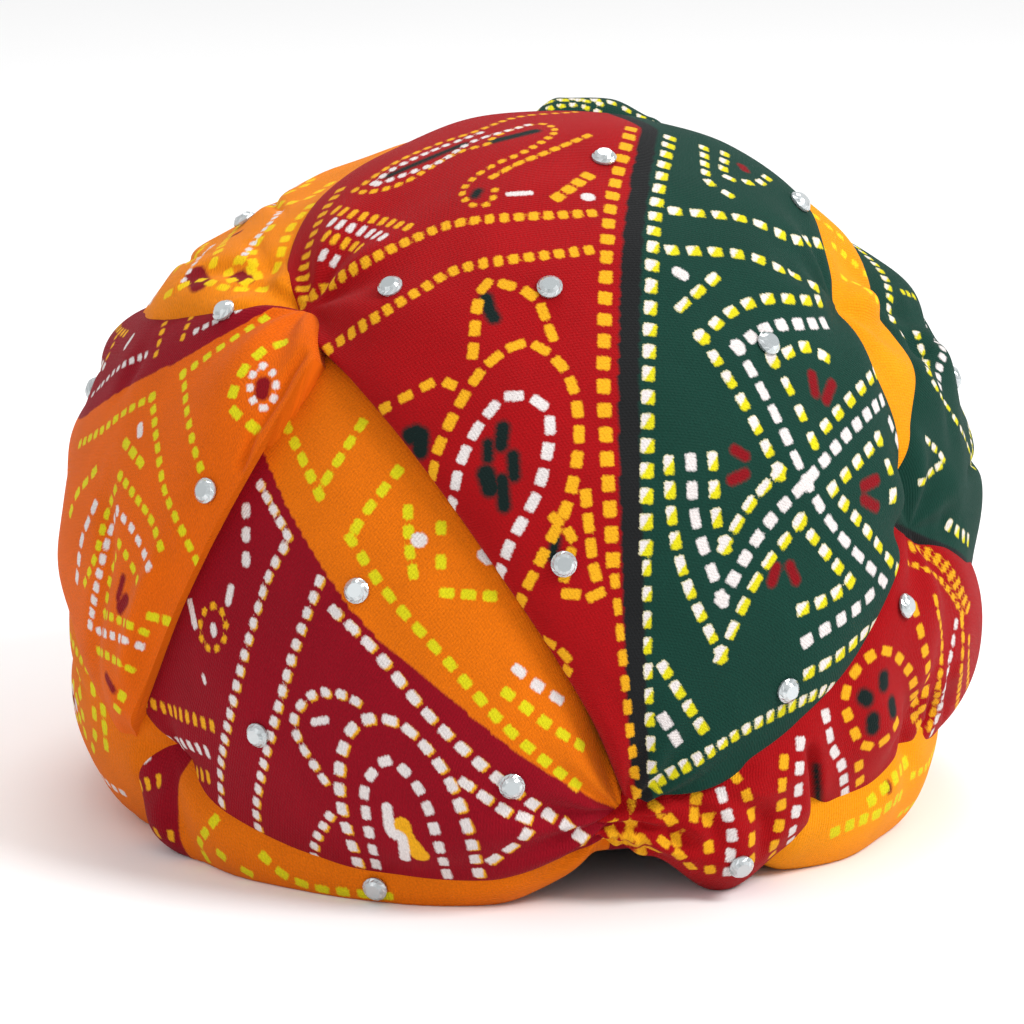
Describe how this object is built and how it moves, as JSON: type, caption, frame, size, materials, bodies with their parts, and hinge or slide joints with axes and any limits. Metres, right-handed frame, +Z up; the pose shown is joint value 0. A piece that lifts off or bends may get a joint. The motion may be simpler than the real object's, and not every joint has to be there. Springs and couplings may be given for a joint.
{
  "type": "tied turban",
  "caption": "Tied cloth turban with a wide front panel, draped and rolled folds gathered at the front, a dotted tie-dye print and sewn-on stones, hollow for the head.",
  "frame": {"origin": "on the ground under the middle of the turban's bounding box", "axes": "+Z up, the front gather on -Y, the wearer's left on +X"},
  "size_m": [0.2658, 0.2681, 0.1983],
  "materials": {
    "inner_cloth": "matt woven cloth",
    "red_green_cloth": "fine ribbed crepe, printed, slight sheen",
    "crimson_orange_cloth": "fine ribbed crepe, printed, slight sheen",
    "orange_cloth": "fine ribbed crepe, printed, slight sheen",
    "yellow_cloth": "fine ribbed crepe, printed, slight sheen",
    "red_cloth": "fine ribbed crepe, printed, slight sheen",
    "green_cloth": "fine ribbed crepe, printed, slight sheen",
    "stone": "clear faceted, silvered back"
  },
  "bodies": {
    "root": {"crown_back_wrap": "yellow_cloth", "front_panel": "red_green_cloth", "left_flap": "orange_cloth", "left_front_wrap": "crimson_orange_cloth", "left_rim_roll": "orange_cloth", "lower_back_wrap": "yellow_cloth", "right_back_fold": "green_cloth", "right_front_roll": "red_cloth", "right_rim_roll": "yellow_cloth", "right_tuck_strip": "yellow_cloth", "stone_01": "stone", "stone_02": "stone", "stone_03": "stone", "stone_04": "stone", "stone_05": "stone", "stone_06": "stone", "stone_07": "stone", "stone_08": "stone", "stone_09": "stone", "stone_10": "stone", "stone_11": "stone", "stone_12": "stone", "stone_13": "stone", "stone_14": "stone", "stone_15": "stone", "stone_16": "stone", "stone_17": "stone", "stone_18": "stone", "stone_19": "stone", "stone_20": "stone", "stone_21": "stone", "stone_22": "stone", "stone_23": "stone", "stone_24": "stone", "stone_25": "stone", "stone_26": "stone", "stone_27": "stone", "top_tuck": "green_cloth", "wound_body": "inner_cloth"}
  },
  "joints": []
}
